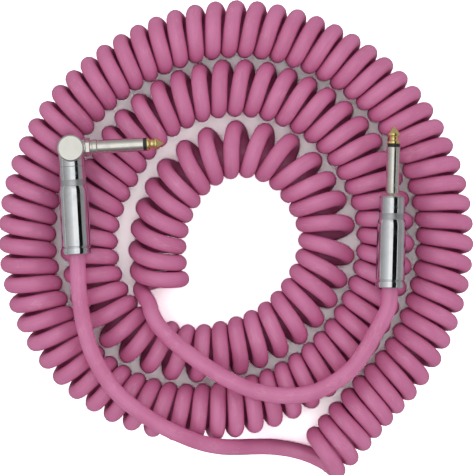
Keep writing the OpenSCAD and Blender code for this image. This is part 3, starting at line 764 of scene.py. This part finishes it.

# ---- The shells ----
# Brass barrels, turned, polished and chromed: a rounded rim and a sharp groove at the rear, a long
# body with a soft shoulder, a hollow band left satin and painted darker as painted shade, and a
# slimmer neck, threaded inside, that screws up against the collar or the head.
band_low, band_high = 32.0, 34.9
cord_hole_r, liner_room_r, thread_room_r, inner_crest = 4.1, 5.9, 5.5, 5.08
rim_round = 0.5
rim = [(rim_round - rim_round * math.cos(a), shell_r - rim_round + rim_round * math.sin(a))
       for a in np.linspace(0, math.pi / 2, 6)]
groove = [(2.9, shell_r), (3.3, 6.3), (3.5, 6.3), (3.9, shell_r)]
shoulder = [(28.8, shell_r), (29.6, 6.78), (30.4, 6.68), (31.1, 6.5), (31.7, 6.3), (band_low, 6.2)]
hollow = [(band_low + 0.1, 6.05), (33.4, 5.9), (band_high - 0.1, 6.05), (band_high, neck_r)]
inside = [(36.0, thread_room_r), (36.0, inner_crest), (32.0, inner_crest), (32.0, liner_room_r),
          (2.0, liner_room_r), (2.0, cord_hole_r), (0.3, cord_hole_r)]
for name, axis, shell_l, chrome_name in [
        ("straight_shell", straight_axis, straight_shell_l, "straight shell chrome"),
        ("angle_shell", angle_axis, angle_shell_l, "angle shell chrome")]:
    mouth = [(shell_l - 0.2, neck_r), (shell_l, 5.9), (shell_l, thread_room_r)]
    barrel = turned(name + "_barrel", [(0.3, cord_hole_r), (0, 4.4)] + rim + groove + shoulder
                    + hollow + mouth + inside)
    break_edges(barrel, 0.1)
    barrel = joined(barrel, ridge("thread", inner_crest, 0.42, thread_pitch, 36.1, shell_l - 0.2,
                                  inward=True))
    put_in_place(barrel, axis)
    chrome, _, _ = plated(chrome_name, axis, bright_chrome, dull_chrome,
                          polish=0.05, drag=0.16, rings=0.25, band=(band_low, band_high))
    dress(barrel, chrome)
    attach(barrel, name + "_body")
    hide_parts(name)

# ---- The head's cap ----
# A chromed brass lid with a short threaded spigot. Its rim is bevelled and polished, and its flat
# face is left satin, with the faint rings of the facing cut.
cap_pitch = 0.75
cap = turned("angle_cap_lid",
             [(4.0, 4.3), (4.3, 4.6), (6.0, 4.6), (6.0, 4.5), (6.2, 4.5), (6.2, can_r),
              (7.1, can_r), (7.45, 6.05), (7.8, 5.6), (7.8, 0)])
break_edges(cap, 0.1, 25)
cap = joined(cap, ridge("thread", 4.92, 0.34, cap_pitch, 4.1, 6.0))
put_in_place(cap, can_axis)
warm_chrome, dull_warm = (0.80, 0.80, 0.74, 1), (0.70, 0.70, 0.64, 1)
cap_chrome, cap_shader, cap_place = plated("cap chrome", can_axis, warm_chrome, dull_warm,
                                           polish=0.06, drag=0.12, rings=0.2)
across, back, up = split(cap_place)
radius = (across * across + back * back) ** 0.5
face = (1 - radius.between(5.45, 5.55)) * up.between(7.7, 7.75)
facing = radius.math("SINE", radius * 9)
satin = cap_place.noise(1.2, 3)
lead_to(face * 0.30 + 0.07 + 0.06 * satin, cap_shader, "Roughness")
lead_to((face * facing * 0.3 + satin * 0.3).bump(0.000008), cap_shader, "Normal")
dress(cap, cap_chrome)
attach(cap, "angle_cap_body")
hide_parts("angle_cap")

# ---- Studio ----
# A plain white floor under a soft lamp and a white surround that is brighter at its sides. Grey
# cards on four sides, and a black one close by on the right, give the chrome its shading and its
# dark stripe.
half = 6
floor_mesh = bpy.data.meshes.new("floor")
floor_mesh.from_pydata([(-half, -half, 0), (half, -half, 0), (half, half, 0), (-half, half, 0)],
                       [], [(0, 1, 2, 3)])
floor = bpy.data.objects.new("floor", floor_mesh)
bpy.context.scene.collection.objects.link(floor)
floor_paper, floor_shader, start = new_finish("floor paper")
plain_paper, seen_paper = (0.40, 0.40, 0.40, 1), (3.4, 3.4, 3.4, 1)
camera_ray = start.node("ShaderNodeLightPath", {}, output="Is Camera Ray")
lead_to(camera_ray.mix(plain_paper, seen_paper), floor_shader, "Base Color")
floor_shader.inputs["Roughness"].default_value = 1.0
floor_shader.inputs["Specular IOR Level"].default_value = 0.0
floor_mesh.materials.append(floor_paper)

# Each card's lean and turn in degrees, its distance, how far it is moved aside, its width and
# length, its grey at the floor, and how that grey rises with the square of the height.
for name, lean, turn, distance, aside, width, length, dark, rise in [
        ("left card", -51, 0, 3.0, 0, 4.5, 9, 0.31, 0.043),
        ("right card", 74, 0, 3.0, 0, 2.2, 9, 0.30, -0.01),
        ("front card", -60, 90, 3.2, 0, 4.2, 9, 0.12, 0.030),
        ("back card", 60, 90, 3.2, 0, 4.2, 9, 0.30, 0.050),
        ("black card", 0, 0, 0.662, 0.52, 0.60, 3, 0.004, 0)]:
    tilt, turn = math.radians(lean), math.radians(turn)
    bpy.ops.object.select_all(action="DESELECT")
    bpy.ops.mesh.primitive_grid_add(x_subdivisions=2, y_subdivisions=2, size=1)
    card = bpy.context.object
    card.name = card.data.name = name
    card.scale = (width, length, 1)
    card.rotation_euler = (0, tilt, turn)
    reach = distance * math.sin(tilt) + aside
    card.location = (reach * math.cos(turn), reach * math.sin(turn), distance * math.cos(tilt))
    bpy.ops.object.transform_apply(location=True, rotation=True, scale=True)
    paint, shader, start = new_finish(name)
    height = split(start.node("ShaderNodeTexCoord", {}, output="Object"))[2]
    glow = height * height * rise + dark
    grey = glow.node("ShaderNodeCombineColor", {0: glow, 1: glow, 2: glow})
    emission = start.node("ShaderNodeEmission", {"Color": grey})
    surface = paint.node_tree.nodes["Material Output"].inputs["Surface"]
    paint.node_tree.links.new(emission.end, surface)
    card.data.materials.append(paint)
    card.visible_camera = card.visible_diffuse = card.visible_shadow = False
    card.visible_transmission = card.visible_volume_scatter = False

lamp = bpy.data.lights.new("soft lamp", "AREA")
lamp.shape = "RECTANGLE"
lamp.size = lamp.size_y = 1.6
lamp.energy = 10
lamp_object = bpy.data.objects.new("soft lamp", lamp)
lamp_object.location = (0, 0, 3.0)
lamp_object.visible_glossy = False
bpy.context.scene.collection.objects.link(lamp_object)
world = bpy.data.worlds.new("white surround")
bpy.context.scene.world = world
world.use_nodes = True
background = world.node_tree.nodes["Background"]
start = Wire(world.node_tree)
camera_ray = start.node("ShaderNodeLightPath", {}, output="Is Camera Ray")
shiny_ray = start.node("ShaderNodeLightPath", {}, output="Is Glossy Ray")
through_ray = start.node("ShaderNodeLightPath", {}, output="Is Transmission Ray")
seen = start.math("MAXIMUM", camera_ray, start.math("MAXIMUM", shiny_ray, through_ray))
background.inputs["Color"].default_value = (1, 1, 1, 1)
high = split(start.node("ShaderNodeTexCoord", {}, output="Object"))[2]
side_light, top_drop = 1.06, 0.62
sides = side_light - top_drop * high.between(0.45, 1.0)
world.node_tree.links.new((seen + (1 - seen) * sides).end, background.inputs["Strength"])
bpy.context.scene.view_settings.view_transform = "Standard"
